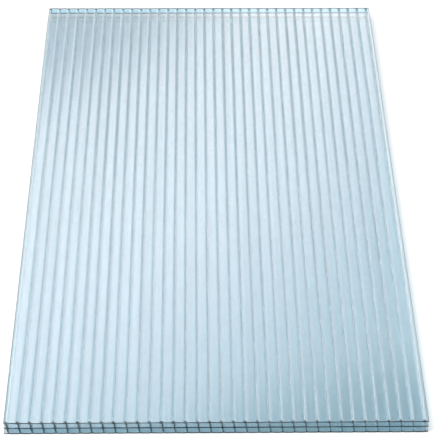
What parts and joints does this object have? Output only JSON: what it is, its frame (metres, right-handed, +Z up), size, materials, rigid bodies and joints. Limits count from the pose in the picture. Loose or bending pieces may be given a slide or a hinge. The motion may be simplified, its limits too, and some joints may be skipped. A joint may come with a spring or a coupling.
{
  "type": "multiwall polycarbonate sheet",
  "caption": "Clear flat glazing sheet extruded with three thin skins and two layers of open flutes between leaning ribs.",
  "frame": {"origin": "middle of the underside that the sheet lies on", "axes": "+Y along the flutes, +X across them, +Z up through the thickness"},
  "size_m": [0.7, 1.25, 0.025],
  "materials": {
    "polycarbonate": "clear with a slight blue tint, glossy"
  },
  "bodies": {
    "root": {"multiwall_sheet": "polycarbonate"}
  },
  "joints": []
}
